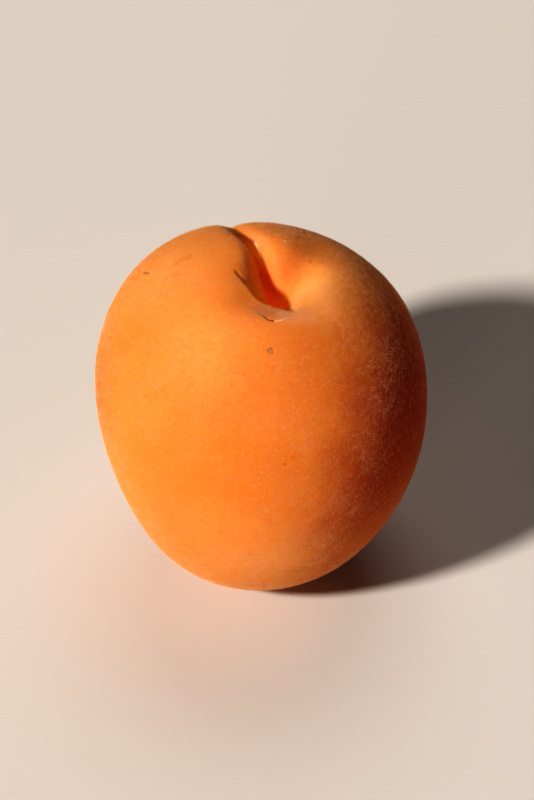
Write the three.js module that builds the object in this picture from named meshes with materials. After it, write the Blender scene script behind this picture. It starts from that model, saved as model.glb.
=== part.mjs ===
import * as THREE from "three";

// A ripe apricot as picked, resting on the small flat spot at its base with the stem end up.
// The whole fruit is one closed skin. A formula gives the point of the skin at a polar angle,
// which is 0 at the stem end, and at an azimuth, counted from +X towards +Y. Millimetres, +Z up.

// Body. Each fade is a pair of values, at which it starts and is complete.
const HALF_HEIGHT = 27.2;
const RADIUS = 23.2;
const EGG = 0.05; // wider towards the stem end
const BLUNT = 0.056; // fuller shoulders and base than an ellipsoid
const PRESSED = 0.025; // a little narrower from cheek to cheek than along the suture
const BELLY = 0.14; // one side swells out low down
const BELLY_AZIMUTH = degrees(-19);
const BELLY_FADE = [-0.5, 0.9]; // by the cosine of the polar angle, downwards
const LOBE = 0.15; // the shoulder beside the suture swells
const LOBE_AZIMUTH = degrees(119);
const LOBE_SPREAD = degrees(40);
const LOBE_FADE = [-0.1, 0.8]; // by the cosine of the polar angle, upwards

// Stem end, pushed a little to one side of the axis
const TOP_SHIFT = 1.2;
const TOP_SHIFT_FADE = [0.2, 1]; // by the cosine of the polar angle
const STEM_END_FADE = [-2, 12]; // by the height over the middle
const DIP_DEPTH = 1.6;
const DIP_RADIUS = 10;

// Stem cavity: a cleft that runs in from the suture and opens into a pocket
const CLEFT_ORIGIN = [-0.6, -0.37];
const CLEFT_AZIMUTH = degrees(107.2);
const CLEFT_BEND = 0.02; // how much the line of the cleft curves in the pocket
const POCKET_DEPTH = 6.8;
const CLEFT_DEPTH = 2.8;
const DEPTH_FADE = [0, 9]; // along the cleft, from the depth of the pocket to that of the cleft
const FRONT_FADE = [-8.5, -4.5];
const BACK_FADE = [12, 22];
const POCKET_LENGTH = 4;
const LEFT_WALL = 2.3; // how far the steep wall spreads from the line, in the pocket
const OUTER_LEFT_WALL = 1.35; // and further out
const LEFT_WALL_FADE = [0, 7];
const LEFT_WALL_POWER = 1.1;
const RIGHT_WALL = 4.4; // the same for the gentle wall
const OUTER_RIGHT_WALL = 1.4;
const RIGHT_WALL_POWER = 1.8;
const OUTER_RIGHT_WALL_POWER = 1;

// Front lip, which stands over the pocket and runs out as a crease in the steep wall
const LIP_ORIGIN = [-4.14, -4.02];
const LIP_AZIMUTH = degrees(114);
const LIP_BEND = 0.135;
const LIP_EDGE = 0.8; // half width of the drop behind the lip
const CREASE_FADE = [1.2, 6.4];

// Gentle wall of the cavity: a soft hollow beside a soft ridge
const HOLLOW_AZIMUTH = degrees(46);
const HOLLOW_DEPTH = 0.4;
const RIDGE_AZIMUTH = degrees(84);
const RIDGE_HEIGHT = 0.35;
const WALL_SPREAD = degrees(18);
const WALL_START_FADE = [2, 5]; // by the distance from the axis
const WALL_END_FADE = [8, 13];

// Suture: a groove that carries the cleft on down one side
const SUTURE_AZIMUTH = degrees(106.5);
const SUTURE_DEPTH = 1.1;
const SUTURE_WIDTH = 1.5;
const SUTURE_POWER = 0.9;
const SUTURE_FADE = [9, 14]; // by the distance from the axis

// Unevenness: polar angle, azimuth and spread in degrees, and depth (below 0 swells out)
const DENTS = [
  [70, 250, 28, 0.25],
  [55, 190, 22, 0.3],
  [60, 320, 24, -0.2],
  [100, 20, 30, 0.3],
  [80, 130, 26, -0.25],
  [75, 60, 24, 0.3],
  [120, 230, 30, -0.2],
  [45, 285, 16, -0.12],
];

// How it rests
const LEAN_BACK = degrees(4);
const LEAN_RIGHT = degrees(4);
const FLAT_SINK = 1; // how much of the base the flat spot takes off
const FLAT_EDGE = 0.35; // half height of the rounding around the flat spot

// Mesh: rings crowd at the stem end, and columns at the suture
const RINGS = 60;
const RING_CROWDING = 1.6;
const COLUMNS = 92;
const COLUMN_CROWDING = 0.5;

function degrees(angle) {
  return THREE.MathUtils.degToRad(angle);
}

// 0 before the fade, 1 after it, and a smooth rise between.
function fadeIn(fade, x) {
  return THREE.MathUtils.smoothstep(x, fade[0], fade[1]);
}

function fadeOut(fade, x) {
  return 1 - fadeIn(fade, x);
}

function mix(a, b, share) {
  return THREE.MathUtils.lerp(a, b, share);
}

// 1 at 0, falling away to both sides over about the spread given; a higher power has a flatter top.
function decay(x, spread, power) {
  return Math.exp(-Math.pow(Math.abs(x) / spread, power));
}

function bell(x) {
  return Math.exp(-x * x);
}

function angleBetween(a, b) {
  return Math.abs(THREE.MathUtils.euclideanModulo(a - b + Math.PI, 2 * Math.PI) - Math.PI);
}

// Distance of the plain body from the axis.
function bodyRadius(polar, azimuth) {
  const sin = Math.sin(polar);
  const cos = Math.cos(polar);
  const profile = 1 + EGG * cos - BLUNT * Math.cos(3 * polar);
  const pressed = PRESSED * Math.cos(2 * (azimuth - SUTURE_AZIMUTH)) * sin * sin;
  const towardsBelly = (1 + Math.cos(azimuth - BELLY_AZIMUTH)) / 2;
  const belly = BELLY * towardsBelly * sin * fadeIn(BELLY_FADE, -cos);
  const besideLobe = angleBetween(azimuth, LOBE_AZIMUTH) / LOBE_SPREAD;
  const lobe = LOBE * bell(besideLobe) * sin * fadeIn(LOBE_FADE, cos);
  return RADIUS * sin * profile * (1 + pressed + belly + lobe);
}

// How far a point lies along a line and to the right of it. In front of its origin, the line curves.
function besideLine(x, y, [originX, originY], azimuth, bend) {
  const cos = Math.cos(azimuth);
  const sin = Math.sin(azimuth);
  const along = (x - originX) * cos + (y - originY) * sin;
  const across = (x - originX) * sin - (y - originY) * cos;
  return { along, across: across + bend * Math.min(along, 0) ** 2 };
}

function cavityDepth(x, y) {
  const { along, across } = besideLine(x, y, CLEFT_ORIGIN, CLEFT_AZIMUTH, CLEFT_BEND);
  const pocket = bell(along / POCKET_LENGTH);
  const leftSpread = mix(LEFT_WALL, OUTER_LEFT_WALL, fadeIn(LEFT_WALL_FADE, along));
  const rightSpread = mix(OUTER_RIGHT_WALL, RIGHT_WALL, pocket);
  const rightPower = mix(OUTER_RIGHT_WALL_POWER, RIGHT_WALL_POWER, pocket);
  const leftWall = decay(across, leftSpread, LEFT_WALL_POWER);
  const rightWall = decay(across, rightSpread, rightPower);
  const depth = mix(POCKET_DEPTH, CLEFT_DEPTH, fadeIn(DEPTH_FADE, along));
  const reach = fadeIn(FRONT_FADE, along) * fadeOut(BACK_FADE, along);
  return depth * reach * (across < 0 ? leftWall : rightWall);
}

// 0 in front of the lip, and 1 behind it, where the cavity drops to its full depth.
function behindLip(x, y) {
  const { along, across } = besideLine(x, y, LIP_ORIGIN, LIP_AZIMUTH, -LIP_BEND);
  return mix(1, fadeIn([-LIP_EDGE, LIP_EDGE], across), fadeOut(CREASE_FADE, along));
}

function wallDepth(radius, azimuth) {
  const ring = fadeIn(WALL_START_FADE, radius) * fadeOut(WALL_END_FADE, radius);
  const hollow = HOLLOW_DEPTH * bell(angleBetween(azimuth, HOLLOW_AZIMUTH) / WALL_SPREAD);
  const ridge = RIDGE_HEIGHT * bell(angleBetween(azimuth, RIDGE_AZIMUTH) / WALL_SPREAD);
  return ring * (hollow - ridge);
}

function sutureDepth(radius, polar, azimuth) {
  const aside = radius * angleBetween(azimuth, SUTURE_AZIMUTH);
  const fade = (Math.cos(polar) + 1) / 2;
  const groove = SUTURE_DEPTH * decay(aside, SUTURE_WIDTH, SUTURE_POWER);
  return groove * fade * fadeIn(SUTURE_FADE, radius);
}

function dentDepth(direction) {
  let depth = 0;
  for (const [polar, azimuth, spread, amount] of DENTS) {
    const centre = directionAt(degrees(polar), degrees(azimuth));
    depth += amount * bell(direction.angleTo(centre) / degrees(spread));
  }
  return depth;
}

function directionAt(polar, azimuth) {
  return new THREE.Vector3(
    Math.sin(polar) * Math.cos(azimuth),
    Math.sin(polar) * Math.sin(azimuth),
    Math.cos(polar),
  );
}

// The point of the skin of an upright fruit, centred on its axis.
function skinPoint(polar, azimuth) {
  const radius = bodyRadius(polar, azimuth);
  const x = radius * Math.cos(azimuth);
  const y = radius * Math.sin(azimuth);
  const z = HALF_HEIGHT * Math.cos(polar);
  const cavity = cavityDepth(x, y) * behindLip(x, y);
  const dip = DIP_DEPTH * bell(radius / DIP_RADIUS);
  const drop = fadeIn(STEM_END_FADE, z) * (cavity + dip + wallDepth(radius, azimuth));
  const shift = TOP_SHIFT * fadeIn(TOP_SHIFT_FADE, Math.cos(polar));
  const direction = directionAt(polar, azimuth);
  const inward = sutureDepth(radius, polar, azimuth) + dentDepth(direction);
  return new THREE.Vector3(x + shift, y, z - drop).addScaledVector(direction, -inward);
}

// One point at each pole and rings of points between them, joined by triangles.
function skinGeometry() {
  const points = [];
  const faces = [];
  points.push(skinPoint(0, 0));
  for (let ring = 1; ring < RINGS; ring++) {
    const polar = Math.PI * Math.pow(ring / RINGS, RING_CROWDING);
    for (let column = 0; column < COLUMNS; column++) {
      const turn = (2 * Math.PI * column) / COLUMNS;
      points.push(skinPoint(polar, SUTURE_AZIMUTH + turn - COLUMN_CROWDING * Math.sin(turn)));
    }
  }
  points.push(skinPoint(Math.PI, 0));

  const base = points.length - 1;
  const at = (ring, column) => 1 + (ring - 1) * COLUMNS + (column % COLUMNS);
  for (let column = 0; column < COLUMNS; column++) {
    faces.push(0, at(1, column), at(1, column + 1));
    for (let ring = 1; ring < RINGS - 1; ring++) {
      faces.push(at(ring, column), at(ring + 1, column), at(ring + 1, column + 1));
      faces.push(at(ring, column), at(ring + 1, column + 1), at(ring, column + 1));
    }
    faces.push(base, at(RINGS - 1, column + 1), at(RINGS - 1, column));
  }
  const geometry = new THREE.BufferGeometry().setFromPoints(points);
  geometry.setIndex(faces);
  return geometry;
}

// Leans the fruit, presses its lowest part flat at z = 0 and centres it over the origin.
function settle(geometry) {
  geometry.rotateX(-LEAN_BACK);
  geometry.rotateY(LEAN_RIGHT);
  geometry.computeBoundingBox();
  geometry.translate(0, 0, -geometry.boundingBox.min.z - FLAT_SINK);
  const position = geometry.getAttribute("position");
  for (let i = 0; i < position.count; i++) {
    const z = position.getZ(i);
    if (z < FLAT_EDGE) {
      const rounded = (z + FLAT_EDGE) ** 2 / (4 * FLAT_EDGE);
      position.setZ(i, z < -FLAT_EDGE ? 0 : rounded);
    }
  }
  geometry.computeBoundingBox();
  const centre = geometry.boundingBox.getCenter(new THREE.Vector3());
  geometry.translate(-centre.x, -centre.y, 0);
  geometry.computeVertexNormals();
  return geometry;
}

const skin = new THREE.MeshStandardMaterial({ color: 0xf0832a, roughness: 0.7, metalness: 0 });
const apricot = new THREE.Mesh(settle(skinGeometry()), skin);
apricot.name = "apricot";

const part = new THREE.Group();
part.add(apricot);

export default part;
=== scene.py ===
import math

import bpy
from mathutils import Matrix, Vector


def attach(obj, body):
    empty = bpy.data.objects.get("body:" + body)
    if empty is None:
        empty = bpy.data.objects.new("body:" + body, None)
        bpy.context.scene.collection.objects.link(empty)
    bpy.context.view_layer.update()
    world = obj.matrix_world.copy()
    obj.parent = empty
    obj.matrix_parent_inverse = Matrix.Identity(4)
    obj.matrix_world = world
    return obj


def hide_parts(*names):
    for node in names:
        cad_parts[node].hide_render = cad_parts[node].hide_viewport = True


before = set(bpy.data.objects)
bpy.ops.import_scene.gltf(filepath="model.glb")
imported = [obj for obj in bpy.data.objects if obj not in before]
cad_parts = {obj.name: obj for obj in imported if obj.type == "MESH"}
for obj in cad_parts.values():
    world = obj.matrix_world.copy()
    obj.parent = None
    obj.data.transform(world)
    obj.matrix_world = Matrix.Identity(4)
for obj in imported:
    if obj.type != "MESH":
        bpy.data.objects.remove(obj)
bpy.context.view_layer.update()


# Camera. It looks down at the stem end from the front, near enough for the far shoulder to look a
# little smaller than the near one.
VIEW_ELEVATION = math.radians(45)
VIEW_DISTANCE = 0.45
VIEW_AIM = Vector((0.00085, 0.00094, 0.02694))
LENS = 142.6
NEAREST = 0.01

camera = bpy.data.objects.new("camera", bpy.data.cameras.new("camera"))
bpy.context.scene.collection.objects.link(camera)
bpy.context.scene.camera = camera
towards_camera = Vector((0, -math.cos(VIEW_ELEVATION), math.sin(VIEW_ELEVATION)))
camera.location = VIEW_AIM + towards_camera * VIEW_DISTANCE
camera.rotation_euler = towards_camera.to_track_quat("Z", "Y").to_euler()
camera.data.lens = LENS
camera.data.clip_start = NEAREST


# Fruit. One tight skin over soft flesh, grown in two cheeks that meet at the suture. The stem left a
# steep cavity at the top, one wall of it tucked under its lip, and the base has settled flat. A rule
# wraps a sheet of small faces round the fruit, in millimetres.
SKIN_SIZES = {
    "Rings": 300,
    "Ring Crowding": 1.3,
    "Columns": 300,
    "Column Crowding": 0.3,
    "Half Height": 27.2,
    "Radius": 23.2,
    "Egg": 0.05,
    "Blunt": 0.056,
    "Pressed": 0.025,
    "Belly": 0.14,
    "Belly Azimuth": math.radians(-19),
    "Lobe": 0.15,
    "Lobe Azimuth": math.radians(119),
    "Lobe Spread": math.radians(40),
    "Top Shift": 1.2,
    "Cavity Depth": 6.8,
    "Cleft Depth": 2.8,
    "Cleft X": -0.6,
    "Cleft Y": -0.37,
    "Cleft Azimuth": math.radians(107.2),
    "Cleft Bend": 0.02,
    "Pocket Length": 4.0,
    "Left Wall": 2.3,
    "Outer Left Wall": 1.35,
    "Right Wall": 4.4,
    "Outer Right Wall": 1.4,
    "Lip X": -4.14,
    "Lip Y": -4.02,
    "Lip Azimuth": math.radians(114),
    "Lip Bend": 0.135,
    "Lip Edge": 0.35,
    "Crease Width": 0.18,
    "Crease Depth": 0.5,
    "Dip Depth": 1.6,
    "Dip Radius": 10.0,
    "Suture Azimuth": math.radians(106.5),
    "Suture Depth": 1.1,
    "Suture Width": 1.5,
    "Hollow Azimuth": math.radians(46),
    "Hollow Depth": 0.40,
    "Ridge Azimuth": math.radians(84),
    "Ridge Height": 0.35,
    "Wall Spread": math.radians(18),
    "Lean Back": math.radians(4),
    "Lean Right": math.radians(4),
    "Flat Sink": 1.0,
    "Flat Edge": 0.35,
    "Ripple Depth": 0.10,
    "Ripples Per Millimetre": 1 / 6,
}
MILLIMETRE = 0.001
SEAM_GAP = 1e-7

# A fade is the pair of values at which a form starts and is complete, in millimetres where no other
# measure is named. These two go by the cosine of the polar angle, downwards and upwards.
BELLY_FADE = (-0.5, 0.9)
LOBE_FADE = (-0.1, 0.8)

# Cavity, along the cleft outwards from the pocket. A higher power gives a wall a rounder foot.
FRONT_FADE = (-8.5, -4.5)
BACK_FADE = (12, 22)
DEPTH_FADE = (0, 9)
LEFT_WALL_FADE = (0, 7)
LEFT_WALL_POWER = 1.1
OUTER_LEFT_WALL_POWER = 1.7
RIGHT_WALL_POWER = 1.8
OUTER_RIGHT_WALL_POWER = 1

# Strips of skin along the cleft, on which the material paints the glow of light through the flesh into the
# shaded cleft, paints light on both sides of the shadow's edge and lets the light go deeper into the
# flesh: where each starts and ends across the cleft, from left to right, where it ends along the cleft,
# and how far down in the cavity it starts, from 0 to 1.
CLEFT_STRIPS = {
    "foot": ((-0.5, 0.3), (0.1, 0.7), (10, 15), (0.15, 0.4)),
    "left_wall": ((-3.8, -2.2), (-0.5, 0.3), (14, 20), (0.05, 0.3)),
    "walls": ((-3.8, -2.2), (1.4, 2.6), (12, 18), (0.05, 0.3)),
}

# Lip, the crease that it runs out in and the skin tucked under it, along the lip's own line, and how far
# that skin reaches back from the lip.
LIP_FADE = (1.2, 6.4)
LIP_SET_BACK_FADE = (-3, 0)
CREASE_FADE = (0, 2)
CREASE_END_FADE = (4, 5.5)
TUCK_FADE = (-4, -1)
TUCK_END_FADE = (1.5, 4)
TUCK_REACH = 1.5

# Hollow and ridge of the right wall, and the suture, by the distance from the axis. The stem end goes by
# the height over the middle and the shift of the top by the cosine of the polar angle.
WALL_FADE = (2, 5)
WALL_END_FADE = (8, 13)
SUTURE_FADE = (9, 14)
SUTURE_POWER = 0.9
STEM_END_FADE = (-2, 12)
TOP_SHIFT_FADE = (0.2, 1)

# Polar angle from the stem end, azimuth and spread in degrees, and depth in millimetres, which is below 0
# for a bulge.
DENTS = (
    (70, 250, 28, 0.25),
    (55, 190, 22, 0.3),
    (60, 320, 24, -0.2),
    (100, 20, 30, 0.3),
    (80, 130, 26, -0.25),
    (75, 60, 24, 0.3),
    (120, 230, 30, -0.2),
    (45, 285, 16, -0.12),
)


class Field:
    """A number or vector that a node tree works out, so that a rule reads as arithmetic."""

    def __init__(self, tree, socket):
        self.tree = tree
        self.socket = socket

    def __add__(self, other):
        return calculate("ADD", self, other)

    __radd__ = __add__

    def __sub__(self, other):
        return calculate("SUBTRACT", self, other)

    def __rsub__(self, other):
        return calculate("SUBTRACT", other, self)

    def __mul__(self, other):
        return calculate("MULTIPLY", self, other)

    __rmul__ = __mul__

    def __truediv__(self, other):
        return calculate("DIVIDE", self, other)

    def __pow__(self, other):
        return calculate("POWER", self, other)

    def __neg__(self):
        return calculate("MULTIPLY", self, -1)

    def __abs__(self):
        return calculate("ABSOLUTE", self)

    def other(self, output):
        """Another output of the same node."""
        return Field(self.tree, self.socket.node.outputs[output])


def make(tree, kind, inputs=None, output=0, **settings):
    """Adds a node with its settings and inputs to a tree, and gives one of its outputs."""
    node = tree.nodes.new(kind)
    for name, value in settings.items():
        setattr(node, name, value)
    for key, value in (inputs or {}).items():
        if isinstance(value, Field):
            tree.links.new(value.socket, node.inputs[key])
        else:
            node.inputs[key].default_value = value
    return Field(tree, node.outputs[output]) if len(node.outputs) else node


def calculate(operation, *values):
    tree = next(value.tree for value in values if isinstance(value, Field))
    return make(tree, "ShaderNodeMath", dict(enumerate(values)), operation=operation)


def sine(x):
    return calculate("SINE", x)


def cosine(x):
    return calculate("COSINE", x)


def decay(x):
    return calculate("EXPONENT", -x)


def bell(x):
    return decay(x * x)


def larger(x, y):
    return calculate("MAXIMUM", x, y)


def smaller(x, y):
    return calculate("MINIMUM", x, y)


def above(x, limit):
    return calculate("GREATER_THAN", x, limit)


def between(low, high, share):
    """From low, at a share of 0, to high, at a share of 1."""
    return low + (high - low) * share


def angle_between(a, b):
    return abs(calculate("WRAP", a - b, math.pi, -math.pi))


def fade_in(fade, x):
    """0 before the fade, 1 after it, and a smooth rise between."""
    start, end = fade
    inputs = {"Value": x, "From Min": start, "From Max": end}
    return make(x.tree, "ShaderNodeMapRange", inputs, interpolation_type="SMOOTHSTEP")


def fade_out(fade, x):
    return 1 - fade_in(fade, x)


def vector(x, y, z):
    return make(x.tree, "ShaderNodeCombineXYZ", {0: x, 1: y, 2: z})


def parts_of(field):
    x = make(field.tree, "ShaderNodeSeparateXYZ", {0: field})
    return x, x.other(1), x.other(2)


def new_tree(name, sizes):
    """A geometry tree with a named input for each size."""
    tree = bpy.data.node_groups.new(name, "GeometryNodeTree")
    tree.interface.new_socket("Geometry", in_out="INPUT", socket_type="NodeSocketGeometry")
    tree.interface.new_socket("Geometry", in_out="OUTPUT", socket_type="NodeSocketGeometry")
    for size, value in sizes.items():
        kind = "NodeSocketInt" if isinstance(value, int) else "NodeSocketFloat"
        socket = tree.interface.new_socket(size, in_out="INPUT", socket_type=kind)
        socket.default_value = value
    source = make(tree, "NodeGroupInput")
    return tree, source, {size: source.other(size) for size in sizes}


def finish_tree(tree, geometry, material):
    """Turns copies into real mesh and gives it its material."""
    real = make(tree, "GeometryNodeRealizeInstances", {"Geometry": geometry})
    done = make(tree, "GeometryNodeSetMaterial", {"Geometry": real, "Material": material})
    make(tree, "NodeGroupOutput", {"Geometry": done})


def mesh_from_tree(name, tree, sizes, base=None):
    """A plain mesh object made by running a geometry tree, on a base mesh if there is one."""
    start = base.data.copy() if base else bpy.data.meshes.new(name)
    maker = bpy.data.objects.new(name + "_maker", start)
    bpy.context.scene.collection.objects.link(maker)
    modifier = maker.modifiers.new(name, "NODES")
    modifier.node_group = tree
    for socket in tree.interface.items_tree:
        if socket.name in sizes:
            modifier[socket.identifier] = sizes[socket.name]
    evaluated = maker.evaluated_get(bpy.context.evaluated_depsgraph_get())
    mesh = bpy.data.meshes.new_from_object(evaluated)
    bpy.data.objects.remove(maker)
    mesh.name = name
    piece = bpy.data.objects.new(name, mesh)
    bpy.context.scene.collection.objects.link(piece)
    return piece


def body_radius(size, polar, azimuth):
    """Distance of the plain body from its axis."""
    across = sine(polar)
    up = cosine(polar)
    profile = size["Egg"] * up - size["Blunt"] * cosine(polar * 3) + 1
    pressed = size["Pressed"] * cosine((azimuth - size["Suture Azimuth"]) * 2) * across * across
    towards_belly = cosine(azimuth - size["Belly Azimuth"]) * 0.5 + 0.5
    belly = size["Belly"] * towards_belly * across * fade_in(BELLY_FADE, -up)
    aside = angle_between(azimuth, size["Lobe Azimuth"]) / size["Lobe Spread"]
    lobe = size["Lobe"] * bell(aside) * across * fade_in(LOBE_FADE, up)
    return size["Radius"] * across * profile * (pressed + belly + lobe + 1)


def turned(x, y, azimuth):
    """Distances along and across a line that runs from the origin at an azimuth."""
    return x * cosine(azimuth) + y * sine(azimuth), x * sine(azimuth) - y * cosine(azimuth)


def beside_cleft(size, x, y):
    """Distances along and across the line of the cleft, which bends in the pocket."""
    along, across = turned(x - size["Cleft X"], y - size["Cleft Y"], size["Cleft Azimuth"])
    return along, across + size["Cleft Bend"] * larger(-along, 0) * larger(-along, 0)


def cavity_at(size, along, across):
    """A cleft between the cheeks, which opens into a pocket at the stem end: how far down into it each
    point lies, up to 1 on its bed, and how deep the bed is there."""
    pocket = bell(along / size["Pocket Length"])
    outwards = fade_in(LEFT_WALL_FADE, along)
    left = between(size["Left Wall"], size["Outer Left Wall"], outwards)
    right = between(size["Outer Right Wall"], size["Right Wall"], pocket)
    left_power = between(LEFT_WALL_POWER, OUTER_LEFT_WALL_POWER, outwards)
    right_power = between(OUTER_RIGHT_WALL_POWER, RIGHT_WALL_POWER, pocket)
    left_wall = decay((larger(-across, 0) / left) ** left_power)
    right_wall = decay((larger(across, 0) / right) ** right_power)
    depth = between(size["Cavity Depth"], size["Cleft Depth"], fade_in(DEPTH_FADE, along))
    reach = fade_in(FRONT_FADE, along) * fade_out(BACK_FADE, along)
    return reach * left_wall * right_wall, depth


def strip_at(strip, along, across, cavity):
    """1 on a strip of skin along the cleft and 0 away from it."""
    left, right, back, brink = strip
    inside = fade_in(left, across) * fade_out(right, across) * fade_out(back, along)
    return inside * fade_in(brink, cavity)


def lip_at(size, x, y):
    """The front lip: 0 outside it and 1 inside it, where the wall drops away under the lip, the sharp
    crease that carries its line on into the steep wall, and the skin tucked under it."""
    along, across = turned(x - size["Lip X"], y - size["Lip Y"], size["Lip Azimuth"])
    across = across - size["Lip Bend"] * larger(-along, 0) * larger(-along, 0)
    behind = across - size["Lip Edge"] * fade_in(LIP_SET_BACK_FADE, along)
    edge = (-size["Lip Edge"], size["Lip Edge"])
    inside = 1 - fade_out(LIP_FADE, along) * fade_out(edge, behind)
    crease = decay(abs(behind) / size["Crease Width"])
    crease = crease * fade_in(CREASE_FADE, along) * fade_out(CREASE_END_FADE, along)
    under = fade_in(edge, behind) * decay(larger(behind, 0) / TUCK_REACH)
    tucked = under * fade_in(TUCK_FADE, along) * fade_out(TUCK_END_FADE, along)
    return inside, crease, tucked


def wall_depth(size, radius, azimuth):
    """A soft hollow beside a soft ridge on the gentle wall."""
    ring = fade_in(WALL_FADE, radius) * fade_out(WALL_END_FADE, radius)
    from_hollow = angle_between(azimuth, size["Hollow Azimuth"]) / size["Wall Spread"]
    from_ridge = angle_between(azimuth, size["Ridge Azimuth"]) / size["Wall Spread"]
    return ring * (size["Hollow Depth"] * bell(from_hollow) - size["Ridge Height"] * bell(from_ridge))


def dent_depth(polar, azimuth):
    depth = 0
    for dent_polar, dent_azimuth, spread, amount in DENTS:
        cos = math.cos(math.radians(dent_polar))
        sin = math.sin(math.radians(dent_polar))
        turn = cosine(azimuth - math.radians(dent_azimuth))
        closeness = smaller(sine(polar) * turn * sin + cosine(polar) * cos, 1)
        depth = bell(calculate("ARCCOSINE", closeness) / math.radians(spread)) * amount + depth
    return depth


def store(geometry, name, value, kind="FLOAT", domain="POINT"):
    inputs = {"Geometry": geometry, "Name": name, "Value": value}
    return make(geometry.tree, "GeometryNodeStoreNamedAttribute", inputs, data_type=kind, domain=domain)


def moved(geometry, position):
    return make(geometry.tree, "GeometryNodeSetPosition", {"Geometry": geometry, "Position": position})


def rotated(place, axis, angle):
    inputs = {"Vector": place, "Angle": angle}
    return make(place.tree, "ShaderNodeVectorRotate", inputs, rotation_type=axis)


def upright_skin(tree, size):
    """The skin of a fruit that stands on its axis, with what the material and the down read from it."""
    sheet = {"Size X": 1, "Size Y": 1, "Vertices X": size["Columns"] + 1, "Vertices Y": size["Rings"] + 1}
    grid = make(tree, "GeometryNodeMeshGrid", sheet)
    skin = store(grid, "UVMap", grid.other("UV Map"), "FLOAT2", "CORNER")

    # Wrapped round: columns run from the stem end to the base, and the first lies in the suture.
    column, ring, _ = parts_of(make(tree, "GeometryNodeInputPosition"))
    turn = (column + 0.5) * (2 * math.pi)
    polar = (0.5 - ring) ** size["Ring Crowding"] * math.pi
    azimuth = turn - size["Column Crowding"] * sine(turn) + size["Suture Azimuth"]
    radius = body_radius(size, polar, azimuth)
    x = radius * cosine(azimuth)
    y = radius * sine(azimuth)
    z = size["Half Height"] * cosine(polar)

    # Stem end.
    stem_end = fade_in(STEM_END_FADE, z)
    along, across = beside_cleft(size, x, y)
    cavity, bed = cavity_at(size, along, across)
    inside, crease, tucked = lip_at(size, x, y)
    cavity = cavity * inside
    dip = size["Dip Depth"] * bell(radius / size["Dip Radius"]) + wall_depth(size, radius, azimuth)
    drop = cavity * bed + crease * size["Crease Depth"] + dip
    shift = size["Top Shift"] * fade_in(TOP_SHIFT_FADE, cosine(polar))
    skin = store(skin, "cavity", cavity * stem_end)
    skin = store(skin, "pocket", cavity * bed / size["Cavity Depth"])
    skin = store(skin, "tucked", tucked * stem_end)
    for name, strip in CLEFT_STRIPS.items():
        skin = store(skin, name, strip_at(strip, along, across, cavity) * stem_end)

    # Suture and unevenness, sunk towards the middle.
    aside = radius * angle_between(azimuth, size["Suture Azimuth"])
    fade = cosine(polar) * 0.5 + 0.5
    groove = fade * decay((aside / size["Suture Width"]) ** SUTURE_POWER) * fade_in(SUTURE_FADE, radius)
    inward = size["Suture Depth"] * groove + dent_depth(polar, azimuth)
    sunk_x = x + shift - inward * sine(polar) * cosine(azimuth)
    sunk_y = y - inward * sine(polar) * sine(azimuth)
    sunk_z = z - drop * stem_end - inward * cosine(polar)
    return moved(skin, vector(sunk_x, sunk_y, sunk_z))


def settled(skin, size):
    """Leans the fruit, ripples its skin a little and presses its lowest part flat on the ground."""
    tree = skin.tree
    leaned = make(tree, "GeometryNodeInputPosition")
    leaned = rotated(leaned, "X_AXIS", -size["Lean Back"])
    leaned = rotated(leaned, "Y_AXIS", size["Lean Right"])
    skin = moved(skin, leaned)
    place = make(tree, "GeometryNodeInputPosition")
    waves = {"Vector": place, "Scale": size["Ripples Per Millimetre"], "Detail": 2}
    outward = (make(tree, "ShaderNodeTexNoise", waves) - 0.5) * size["Ripple Depth"]
    x, y, z = parts_of(place)
    normal_x, normal_y, normal_z = parts_of(make(tree, "GeometryNodeInputNormal"))
    lowest = make(tree, "GeometryNodeAttributeStatistic", {"Geometry": skin, "Attribute": z}, output="Min")
    low = z - lowest - size["Flat Sink"] + normal_z * outward
    rounding = smaller(larger(low + size["Flat Edge"], 0), size["Flat Edge"] * 2)
    height = rounding * rounding / (size["Flat Edge"] * 4) + larger(low - size["Flat Edge"], 0)
    return moved(skin, vector(x + normal_x * outward, y + normal_y * outward, height))


def centred(skin):
    """Centres the fruit over the origin, in metres."""
    box = make(skin.tree, "GeometryNodeBoundBox", {"Geometry": skin}, output="Min")
    low_x, low_y, _ = parts_of(box)
    high_x, high_y, _ = parts_of(box.other("Max"))
    x, y, z = parts_of(make(skin.tree, "GeometryNodeInputPosition"))
    centred_x = (x - (low_x + high_x) * 0.5) * MILLIMETRE
    centred_y = (y - (low_y + high_y) * 0.5) * MILLIMETRE
    return moved(skin, vector(centred_x, centred_y, z * MILLIMETRE))


def skin_tree(material):
    tree, _, size = new_tree("fruit skin", SKIN_SIZES)
    skin = centred(settled(upright_skin(tree, size), size))
    skin = make(tree, "GeometryNodeMergeByDistance", {"Geometry": skin, "Distance": SEAM_GAP})
    skin = make(tree, "GeometryNodeSetShadeSmooth", {"Geometry": skin})
    finish_tree(tree, skin, material)
    return tree


# Colours of the skin in linear light: ripe gold, deeper orange, paler and duller colours of painted light
# and painted shade, a dark blush that also paints the shade of the cheek turned away from the key light,
# and red and orange colours that paint the glow of light through the flesh into the shaded stem cavity and
# the light on the edge of its shadow.
GOLD = (0.74, 0.285, 0.075, 1)
ORANGE = (0.70, 0.24, 0.04, 1)
DEEP_ORANGE = (0.68, 0.17, 0.025, 1)
PAINTED_LIGHT_GOLD = (0.95, 0.46, 0.17, 1)
PAINTED_SHADE_ORANGE = (0.50, 0.17, 0.035, 1)
BLUSH_AND_SHADE = (0.44, 0.048, 0.004, 1)
PAINTED_POCKET_GLOW = (0.98, 0.40, 0.02, 1)
PAINTED_EDGE_LIGHT = (0.97, 0.335, 0.105, 1)
PAINTED_WALL_GLOW = (0.96, 0.33, 0.012, 1)
PAINTED_FOOT_GLOW = (0.92, 0.46, 0.015, 1)
FRECKLE = (0.50, 0.10, 0.02, 1)
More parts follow.
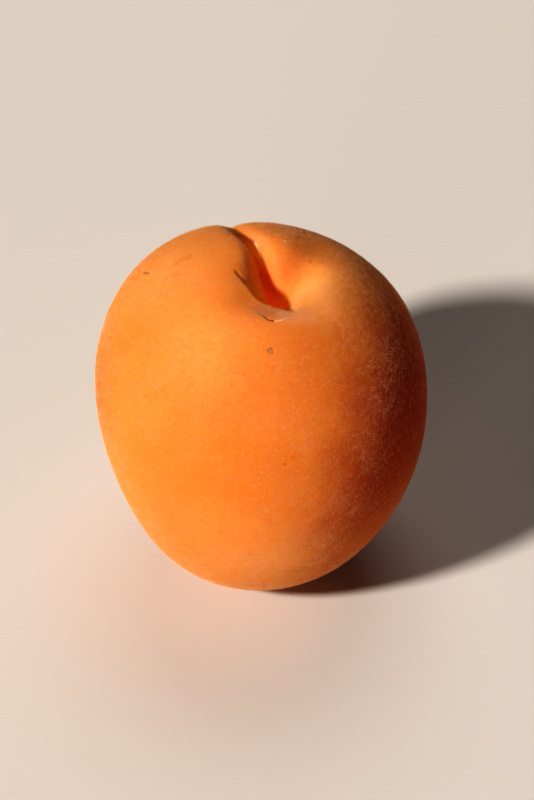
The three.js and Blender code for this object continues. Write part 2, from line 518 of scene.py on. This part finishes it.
CORK = (0.45, 0.20, 0.10, 1)
BROWN = (0.40, 0.11, 0.03, 1)
DRY_SKIN = (0.82, 0.48, 0.33, 1)
SCUFF = (0.90, 0.60, 0.42, 1)
SCAR_LINE = (0.05, 0.022, 0.014, 1)
SPOT_RING = (0.22, 0.10, 0.05, 1)

# Cloudy patches of the skin. The grain is about the width of a patch in millimetres, the fade says where
# in the noise it starts and is full, and the shift keeps one kind of patch off another.
CLOUDS = dict(grain=9, fade=(0.35, 0.65), detail=3)
CLOUD_SHARES = (0.2, 0.7)
BLOTCHES = dict(grain=2.2, fade=(0.5, 0.75), detail=3, shift=40)
BLOTCH_SHARE = 0.35
MOTTLES = dict(grain=0.8, fade=(0.5, 0.7), detail=3, shift=50)
MOTTLE_SHARE = 0.22
PORES = dict(grain=0.45, fade=(0.55, 0.75), detail=2, shift=20)
PORE_SHARE = 0.22
FRECKLE_GAP = 2.2
FRECKLE_EDGE_FADE = (0.05, 0.16)
FRECKLE_RARITY = 0.9
FRECKLE_SHARE = 0.4

# The blush and the shade painted with it face this direction, away from the key light. Its edge wanders,
# and it is stronger high up.
SHADED_SIDE = (0.97, -0.19, -0.15)
BLUSH_AND_SHADE_FADE = (3, 16)
BLUSH_AND_SHADE_EDGE = dict(grain=5, detail=4, shift=80)
BLUSH_AND_SHADE_WANDER = 8
BLUSH_AND_SHADE_HEIGHT_FADE = (14, 34)
BLUSH_AND_SHADE_SHARES = (0.6, 0.95)

# Skin in the cavity: the share of the painted light on the edge of the shadow beside the cleft, and the
# shelter of the pocket by its depth from 0 to 1, where painted glow fills the shaded pocket.
PAINTED_EDGE_LIGHT_SHARE = 0.8
SHELTER_FADE = (0.68, 0.92)

# Soft areas of painted light and painted shade, paler or duller than the skin round them where more or
# less light falls: centre, radius and share.
PAINTED_LIGHT_AREAS = (
    ((7.9, -0.9, 50.3), 3.6, 0.55),
    ((5.1, 0.6, 48.4), 2.4, 0.35),
    ((8.7, -5.2, 50.2), 3.2, 0.5),
    ((-12.5, 4.0, 48.0), 7.0, 0.22),
    ((10.3, 2.6, 49.8), 3.6, 0.35),
    ((-7.0, -9.5, 49.3), 7.0, 0.4),
    ((3.3, -23.0, 21.5), 7.0, 0.22),
)
PAINTED_SHADE_AREAS = (
    ((0.6, 13.5, 47.6), 3.6, 0.45),
    ((-23.2, -3.0, 34.0), 7.0, 0.7),
    ((-2.5, -4.5, 51.5), 3.0, 0.6),
    ((4.9, 6.2, 49.7), 2.8, 0.5),
)

# Painted shade along the lip, and healed marks, each a line from one point of the skin to another with a
# half width, in millimetres, and how strongly each kind is coloured. An edge fades by shares of the half
# width.
MARK_EDGE_FADE = (0.2, 1.5)
# A band of painted shade along the outside of the front lip.
LIP_SHADE = (
    ((-3.2, -0.8, 51.6), (-2.3, -4.0, 51.6), 1.0),
    ((-2.3, -4.0, 51.6), (-1.0, -6.2, 51.4), 1.1),
    ((-1.0, -6.2, 51.4), (2.0, -6.6, 51.2), 1.2),
)
LIP_SHADE_SHARE = 0.3
CORK_PATCH = ((-0.2, -6.5, 51.4), (3.2, -6.9, 51.2), 1.15)
CORK_CRUMBS = dict(grain=0.8, fade=(0.1, 0.5), detail=3, shift=11)
CORK_SHARE = 0.7
PALE_PATCH = ((3.6, -7.0, 50.9), (6.4, -6.9, 50.5), 1.5)
PALE_PATCH_SHARE = 0.3
PALE_MARKS = (
    ((4.7, -4.9, 50.0), (5.3, -3.6, 49.8), 0.20),
    ((-0.8, 11.2, 47.9), (-0.5, 9.9, 48.3), 0.24),
    ((-0.5, 9.7, 48.3), (-0.1, 7.8, 48.3), 0.24),
    ((-0.1, 7.8, 48.3), (0.4, 5.9, 47.7), 0.14),
    ((-2.1, 8.4, 49.5), (-1.4, 5.9, 49.7), 0.09),
    ((-2.5, 2.0, 50.7), (-1.7, 0.8, 50.3), 0.09),
    ((3.3, 8.6, 50.4), (3.3, 8.4, 50.4), 0.16),
    ((1.9, -8.2, 51.0), (3.1, -7.8, 51.0), 0.12),
)
PALE_SHARE = 0.7
BROWN_MARKS = (
    ((5.0, 9.7, 49.8), (6.0, 12.4, 48.3), 0.16),
    ((6.0, 12.4, 48.3), (6.1, 15.6, 46.2), 0.18),
    ((-0.6, 13.4, 47.7), (-0.4, 11.6, 48.4), 0.14),
    ((-16.4, 8.3, 44.7), (-15.7, 7.3, 45.5), 0.20),
)
BROWN_SHARE = 0.9
RED_DOTS = (
    ((6.9, 5.3, 49.7), (6.7, 5.0, 49.7), 0.18),
    ((9.8, 4.9, 49.7), (9.9, 5.0, 49.7), 0.16),
    ((0.1, 1.7, 47.7), (0.1, 1.6, 47.7), 0.22),
    ((3.2, -22.8, 38.4), (3.2, -22.7, 38.5), 0.20),
)
RED_DOT_SHARE = 0.6
FAINT_LINES = (
    ((-11.8, 5.9, 48.4), (-11.0, 6.6, 48.7), 0.5),
    ((-11.0, 6.6, 48.7), (-9.7, 6.9, 49.2), 0.45),
    ((-13.3, 3.8, 47.9), (-11.3, 3.1, 49.1), 0.25),
)
FAINT_LINE_SHARE = 0.25
SCAR = (
    ((-0.1, -7.0, 51.3), (0.6, -7.6, 51.2), 0.05),
    ((0.6, -7.6, 51.2), (1.7, -8.2, 51.0), 0.10),
)
SCAR_SHARE = 0.65
SPOT_AT = (1.2, -12.4, 49.5)
SPOT_RADIUS = 0.48
SPOT_EDGE_FADE = (0.6, 1.15)
SPOT_RIM_FADE = (0.25, 0.7)
SPOT_SHARE = 0.5
SPOT_RIM_SHARE = 0.25

# How unevenly the marks are drawn: how far a line wanders from side to side in millimetres, and how far
# an edge wobbles. That is the half width for narrow marks, these shares of it for faint and broad ones,
# and millimetres for the spot.
BEND = dict(grain=0.9, detail=2, shift=15)
BEND_WIDTH = 0.7
WOBBLE = dict(grain=0.5, detail=3, shift=60)
FAINT_WOBBLE = 0.3
BROAD_WOBBLE = 0.5
SPOT_WOBBLE = 0.12

# Relief in millimetres, which is smoother down in the cavity.
SKIN_GRAIN = dict(grain=0.35, detail=3)
GRAIN_HEIGHT = 0.03
LUMPS = dict(grain=1.6, detail=2, shift=30)
LUMP_HEIGHT = 0.045
CAVITY_SMOOTHNESS = 0.7
PALE_CRUST = 0.06
CORK_CRUST = 0.04
SPOT_CRUST = 0.05
SCAR_DEPTH = 0.12
BROWN_DEPTH = 0.05

# Gloss, and how deep the light goes into the flesh: in metres, in the open and down in the cavity, and
# as shares of that depth for red, green and blue.
DULLNESS = dict(grain=1.2, detail=2, shift=70)
ROUGHNESS = (0.52, 0.67)
CORK_ROUGHNESS = 0.2
LIGHT_DEPTHS = (0.0024, 0.0154)
WALL_SHELTER = 0.6
RED_DEPTHS = (0.8, 1.0)
GREEN_DEPTH = 0.28
SHELTERED_GREEN = 0.5
FOOT_GREEN = 0.45
BLUE_DEPTH = 0.07


def mix(share, below, over):
    inputs = {"Factor": share, 6: below, 7: over}
    return make(share.tree, "ShaderNodeMix", inputs, output=2, data_type="RGBA")


def vector_math(operation, a, b, output=0):
    return make(a.tree, "ShaderNodeVectorMath", {0: a, 1: b}, output=output, operation=operation)


def noise(place, grain, detail, shift=0.0):
    """Cloudy noise from about 0 to 1, whose patches are about one grain across."""
    shifted = vector_math("ADD", place, (shift, shift, shift))
    inputs = {"Vector": shifted, "Scale": 1 / grain, "Detail": detail}
    return make(place.tree, "ShaderNodeTexNoise", inputs)


def patches(place, fade, **cloud):
    return fade_in(fade, noise(place, **cloud))


def distance_to_line(place, start, end):
    """Distance of each point from the line between two points."""
    line = Vector(end) - Vector(start)
    offset = vector_math("SUBTRACT", place, start)
    along = vector_math("DOT_PRODUCT", offset, tuple(line / line.length_squared), output=1)
    along = smaller(larger(along, 0), 1)
    nearest = vector(along * line.x, along * line.y, along * line.z)
    return vector_math("DISTANCE", offset, nearest, output=1)


def scaled(fade, size):
    start, end = fade
    return start * size, end * size


def mark(place, line, wobble):
    """1 on a healed mark and 0 away from it, with an uneven edge."""
    start, end, half_width = line
    away = distance_to_line(place, start, end) + wobble * half_width
    return fade_out(scaled(MARK_EDGE_FADE, half_width), away)


def marks(place, lines, wobble):
    """The same for several marks together."""
    total = 0
    for line in lines:
        total = mark(place, line, wobble) + total
    return smaller(total, 1)


def areas(place, soft_areas):
    """The share of soft areas, fading out over about a radius."""
    total = 0
    for centre, radius, share in soft_areas:
        total = bell(vector_math("DISTANCE", place, centre, output=1) / radius) * share + total
    return total


def attribute(tree, name):
    return make(tree, "ShaderNodeAttribute", output="Fac", attribute_name=name)


def ground_colour(place):
    """Broad clouds of gold and orange, soft areas of painted light and painted shade, and a blush that
    paints shade on the cheek turned away from the key light.
    """
    colour = mix(between(*CLOUD_SHARES, patches(place, **CLOUDS)), GOLD, ORANGE)
    colour = mix(patches(place, **BLOTCHES) * BLOTCH_SHARE, colour, ORANGE)
    # Painted light and painted shade in soft areas.
    colour = mix(areas(place, PAINTED_LIGHT_AREAS), colour, PAINTED_LIGHT_GOLD)
    colour = mix(areas(place, PAINTED_SHADE_AREAS), colour, PAINTED_SHADE_ORANGE)
    # Painted shade: a dark blush on the side turned away from the key light.
    side = vector_math("DOT_PRODUCT", place, SHADED_SIDE, output=1)
    wander = noise(place, **BLUSH_AND_SHADE_EDGE) * BLUSH_AND_SHADE_WANDER
    blush_and_shade = fade_in(BLUSH_AND_SHADE_FADE, side + wander - BLUSH_AND_SHADE_WANDER / 2)
    _, _, height = parts_of(place)
    share = between(*BLUSH_AND_SHADE_SHARES, fade_in(BLUSH_AND_SHADE_HEIGHT_FADE, height))
    return mix(blush_and_shade * share, colour, BLUSH_AND_SHADE)


def freckled(place, colour):
    """Scattered reddish freckles, fine mottling and pale pores."""
    cells = make(place.tree, "ShaderNodeTexVoronoi", {"Vector": place, "Scale": 1 / FRECKLE_GAP})
    chance, _, _ = parts_of(cells.other("Color"))
    freckle = fade_out(FRECKLE_EDGE_FADE, cells) * above(chance, FRECKLE_RARITY)
    colour = mix(freckle * FRECKLE_SHARE, colour, FRECKLE)
    colour = mix(patches(place, **MOTTLES) * MOTTLE_SHARE, colour, DEEP_ORANGE)
    return mix(patches(place, **PORES) * PORE_SHARE, colour, DRY_SKIN)


def bent(place):
    """Each place moved a little sideways, so that a line drawn there wanders."""
    middle = (0.5, 0.5, 0.5)
    bend = vector_math("SUBTRACT", noise(place, **BEND).other("Color"), middle)
    return vector_math("ADD", place, vector_math("MULTIPLY", bend, (BEND_WIDTH, BEND_WIDTH, 0)))


def skin_material():
    material = bpy.data.materials.new("apricot skin")
    material.use_nodes = True
    tree = material.node_tree
    shader = tree.nodes["Principled BSDF"]
    metres = make(tree, "ShaderNodeTexCoord", output="Object")
    place = make(tree, "ShaderNodeVectorMath", {0: metres, "Scale": 1 / MILLIMETRE}, operation="SCALE")

    # Ground colour, with painted glow of light through the flesh in the shaded cleft, pocket and under the
    # lip, painted light on the edge of the shadow in the cleft, and freckles over it.
    foot = attribute(tree, "foot")
    left_wall = attribute(tree, "left_wall")
    walls = attribute(tree, "walls")
    sheltered = larger(fade_in(SHELTER_FADE, attribute(tree, "pocket")), attribute(tree, "tucked"))
    # Painted light on both sides of the shadow's edge in the cleft, and painted glow of light through the
    # flesh in the shaded cleft, pocket and tucked skin.
    edge = larger(walls - foot - left_wall, 0)
    colour = mix(edge * PAINTED_EDGE_LIGHT_SHARE, ground_colour(place), PAINTED_EDGE_LIGHT)
    colour = mix(foot, colour, PAINTED_FOOT_GLOW)
    colour = mix(left_wall, colour, PAINTED_WALL_GLOW)
    colour = mix(sheltered, colour, PAINTED_POCKET_GLOW)
    colour = freckled(place, colour)

    # Painted shade along the lip, and healed marks.
    wobble = noise(place, **WOBBLE) * 2 - 1
    drawn = bent(place)
    colour = mix(marks(drawn, LIP_SHADE, wobble * FAINT_WOBBLE) * LIP_SHADE_SHARE, colour, PAINTED_SHADE_ORANGE)
    cork = mark(drawn, CORK_PATCH, wobble * BROAD_WOBBLE) * patches(drawn, **CORK_CRUMBS)
    colour = mix(cork * CORK_SHARE, colour, CORK)
    colour = mix(mark(drawn, PALE_PATCH, wobble * BROAD_WOBBLE) * PALE_PATCH_SHARE, colour, DRY_SKIN)
    pale = marks(drawn, PALE_MARKS, wobble)
    colour = mix(pale * PALE_SHARE, colour, SCUFF)
    brown = marks(drawn, BROWN_MARKS, wobble)
    colour = mix(brown * BROWN_SHARE, colour, BROWN)
    colour = mix(marks(place, RED_DOTS, wobble * BROAD_WOBBLE) * RED_DOT_SHARE, colour, FRECKLE)
    colour = mix(marks(drawn, FAINT_LINES, wobble) * FAINT_LINE_SHARE, colour, BROWN)
    scar = marks(drawn, SCAR, wobble)
    colour = mix(scar * SCAR_SHARE, colour, SCAR_LINE)
    from_spot = vector_math("DISTANCE", drawn, SPOT_AT, output=1)
    spot = fade_out(scaled(SPOT_EDGE_FADE, SPOT_RADIUS), from_spot + wobble * SPOT_WOBBLE)
    spot_rim = spot * fade_in(scaled(SPOT_RIM_FADE, SPOT_RADIUS), from_spot)
    colour = mix(spot * SPOT_SHARE, colour, CORK)
    colour = mix(spot_rim * SPOT_RIM_SHARE, colour, SPOT_RING)
    tree.links.new(colour.socket, shader.inputs["Base Color"])

    # Relief: skin grain, soft lumps, crusts that stand up and scars that sink.
    rough = noise(place, **SKIN_GRAIN) * GRAIN_HEIGHT + noise(place, **LUMPS) * LUMP_HEIGHT
    crust = pale * PALE_CRUST + cork * CORK_CRUST + spot_rim * SPOT_CRUST
    sunk = scar * SCAR_DEPTH + brown * BROWN_DEPTH
    relief = rough * (1 - walls * CAVITY_SMOOTHNESS) + crust - sunk
    bump = make(tree, "ShaderNodeBump", {"Strength": 1.0, "Distance": MILLIMETRE, "Height": relief})
    tree.links.new(bump.socket, shader.inputs["Normal"])
    roughness = between(*ROUGHNESS, noise(place, **DULLNESS)) + cork * CORK_ROUGHNESS
    tree.links.new(roughness.socket, shader.inputs["Roughness"])

    # Light in the flesh, which reaches further and is redder around the cavity.
    softness = between(*LIGHT_DEPTHS, larger(sheltered, walls * WALL_SHELTER))
    tree.links.new(softness.socket, shader.inputs["Subsurface Scale"])
    red = between(*RED_DEPTHS, sheltered)
    green = larger(sheltered * SHELTERED_GREEN, foot * FOOT_GREEN) + GREEN_DEPTH
    tree.links.new(vector(red, green, BLUE_DEPTH).socket, shader.inputs["Subsurface Radius"])
    shader.inputs["Subsurface Weight"].default_value = 0.8
    shader.inputs["Specular IOR Level"].default_value = 0.06
    shader.inputs["Sheen Weight"].default_value = 0.03
    shader.inputs["Sheen Roughness"].default_value = 0.45
    shader.inputs["Sheen Tint"].default_value = (1.0, 0.82, 0.70, 1)
    return material


fruit = mesh_from_tree("fruit", skin_tree(skin_material()), SKIN_SIZES)
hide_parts("apricot")
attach(fruit, "root")


# Down. The skin is covered with very short pale hairs that lean all ways, in thin and thick tufts. They
# are worn off where the fruit rests, missing in the cavity and thinned on the side turned away from the
# key light, so that no pale hair lightens the shade there. Each coat scatters small cones over the fruit's
# skin with a seed of its own.
DOWN_SIZES = {
    "Hairs Per Square Millimetre": 24.0,
    "Hair Length": 0.18,
    "Hair Thickness": 0.013,
    "Lean": 0.9,
    "Bare Height": 0.6,
    "Thin Areas Per Metre": 180.0,
    "Tufts Per Metre": 1400.0,
    "Seed": 1,
}
THIN_AREA_FADE = (0.35, 0.6)
THIN_AREA_COVER = 0.35
TUFT_FADE = (0.42, 0.6)
TUFT_GAP_COVER = 0.05
CAVITY_BARE_FADE = (0.4, 0.8)
SHADED_SIDE_THINNING_FADE = (0.0120, 0.0165)
SHADED_SIDE_THINNING_SHARE = 0.85
HAIR_SCALES = (0.5, 1.4)
DOWN_COATS = 6
DOWN_COLOUR = (0.86, 0.56, 0.36, 1)


def down_cover(source, size):
    """How thickly the hairs grow on each place of the skin and how much of them is left, from 0 to 1."""
    tree = source.tree
    place = make(tree, "GeometryNodeInputPosition")
    broad = {"Vector": place, "Scale": size["Thin Areas Per Metre"], "Detail": 2.0}
    fine = {"Vector": place, "Scale": size["Tufts Per Metre"], "Detail": 2.0}
    thick = fade_in(THIN_AREA_FADE, make(tree, "ShaderNodeTexNoise", broad))
    tufts = fade_in(TUFT_FADE, make(tree, "ShaderNodeTexNoise", fine))
    cover = between(THIN_AREA_COVER, 1, thick) * between(TUFT_GAP_COVER, 1, tufts)
    _, _, height = parts_of(place)
    cavity = make(tree, "GeometryNodeInputNamedAttribute", {"Name": "cavity"}, data_type="FLOAT")
    # Fewer hairs on the side turned away from the key light, so that none lighten its shade.
    side = vector_math("DOT_PRODUCT", place, SHADED_SIDE, output=1)
    shaded_side_kept = 1 - fade_in(SHADED_SIDE_THINNING_FADE, side) * SHADED_SIDE_THINNING_SHARE
    clear = above(height, size["Bare Height"] * MILLIMETRE) * fade_out(CAVITY_BARE_FADE, cavity) * shaded_side_kept
    return cover, clear


def down_tree(material):
    tree, source, size = new_tree("down", DOWN_SIZES)
    cover, clear = down_cover(source, size)
    density = size["Hairs Per Square Millimetre"] * cover * clear / (MILLIMETRE * MILLIMETRE)
    spread = {"Mesh": source, "Density": density, "Seed": size["Seed"]}
    points = make(tree, "GeometryNodeDistributePointsOnFaces", spread)
    hair = {
        "Vertices": 3,
        "Side Segments": 1,
        "Radius Top": 0.0,
        "Radius Bottom": size["Hair Thickness"] * (0.5 * MILLIMETRE),
        "Depth": size["Hair Length"] * MILLIMETRE,
    }
    cone = make(tree, "GeometryNodeMeshCone", hair, fill_type="NONE")
    scatter = {0: (-1, -1, -1), 1: (1, 1, 1), "Seed": size["Seed"]}
    scatter = make(tree, "FunctionNodeRandomValue", scatter, data_type="FLOAT_VECTOR")
    scatter = make(tree, "ShaderNodeVectorMath", {0: scatter, "Scale": size["Lean"]}, operation="SCALE")
    direction = vector_math("ADD", points.other("Normal"), scatter)
    turn = make(tree, "FunctionNodeAlignRotationToVector", {"Vector": direction}, axis="Z")
    shortest, longest = HAIR_SCALES
    scale = {2: shortest, 3: longest, "Seed": size["Seed"]}
    scale = make(tree, "FunctionNodeRandomValue", scale, output=1)
    placed = {"Points": points, "Instance": cone, "Rotation": turn, "Scale": scale}
    finish_tree(tree, make(tree, "GeometryNodeInstanceOnPoints", placed), material)
    return tree


def down_material():
    material = bpy.data.materials.new("apricot down")
    material.use_nodes = True
    shader = material.node_tree.nodes["Principled BSDF"]
    shader.inputs["Base Color"].default_value = DOWN_COLOUR
    shader.inputs["Roughness"].default_value = 0.7
    shader.inputs["Specular IOR Level"].default_value = 0.2
    return material


down_rule = down_tree(down_material())
for coat in range(1, DOWN_COATS + 1):
    down = mesh_from_tree(f"down_{coat}", down_rule, DOWN_SIZES | {"Seed": coat}, fruit)
    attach(down, "root")


# Floor and light. A plain pale table top, a key light from the front left, a broad soft one from above
# and a weak one from low in front, with hardly any light from the room around them.
FLOOR_REACH = 2
FLOOR_COLOUR = (0.70, 0.63, 0.56, 1)
FLOOR_ROUGHNESS = 0.8
ROOM_COLOUR = (1.0, 0.88, 0.76, 1)
ROOM_STRENGTH = 0.006
up_in_view = Vector((0, math.sin(VIEW_ELEVATION), math.cos(VIEW_ELEVATION)))


def lamp(name, right, up, forward, strength, width):
    """A far lamp that stands to the right, above and in front as the camera sees it, by these shares,
    and looks this many degrees wide."""
    light = bpy.data.lights.new(name, "SUN")
    light.energy = strength
    light.angle = math.radians(width)
    stand = bpy.data.objects.new(name, light)
    bpy.context.scene.collection.objects.link(stand)
    direction = Vector((right, 0, 0)) + up_in_view * up + towards_camera * forward
    stand.rotation_euler = direction.to_track_quat("Z", "Y").to_euler()


corners = [(-FLOOR_REACH, -FLOOR_REACH, 0), (FLOOR_REACH, -FLOOR_REACH, 0)]
corners += [(FLOOR_REACH, FLOOR_REACH, 0), (-FLOOR_REACH, FLOOR_REACH, 0)]
floor_mesh = bpy.data.meshes.new("floor")
floor_mesh.from_pydata(corners, [], [(0, 1, 2, 3)])
floor_material = bpy.data.materials.new("floor")
floor_material.use_nodes = True
floor_shader = floor_material.node_tree.nodes["Principled BSDF"]
floor_shader.inputs["Base Color"].default_value = FLOOR_COLOUR
floor_shader.inputs["Roughness"].default_value = FLOOR_ROUGHNESS
floor_mesh.materials.append(floor_material)
floor = bpy.data.objects.new("floor", floor_mesh)
bpy.context.scene.collection.objects.link(floor)

lamp("key", right=-0.62, up=0.11, forward=0.77, strength=2.5, width=6)
lamp("sky", right=0.05, up=0.95, forward=0.25, strength=0.5, width=40)
lamp("front", right=-0.3, up=-0.5, forward=0.7, strength=0.45, width=20)

room = bpy.data.worlds.new("studio")
bpy.context.scene.world = room
room.use_nodes = True
room.node_tree.nodes["Background"].inputs["Color"].default_value = ROOM_COLOUR
room.node_tree.nodes["Background"].inputs["Strength"].default_value = ROOM_STRENGTH
bpy.context.scene.view_settings.view_transform = "Standard"
bpy.context.scene.view_settings.look = "Very High Contrast"
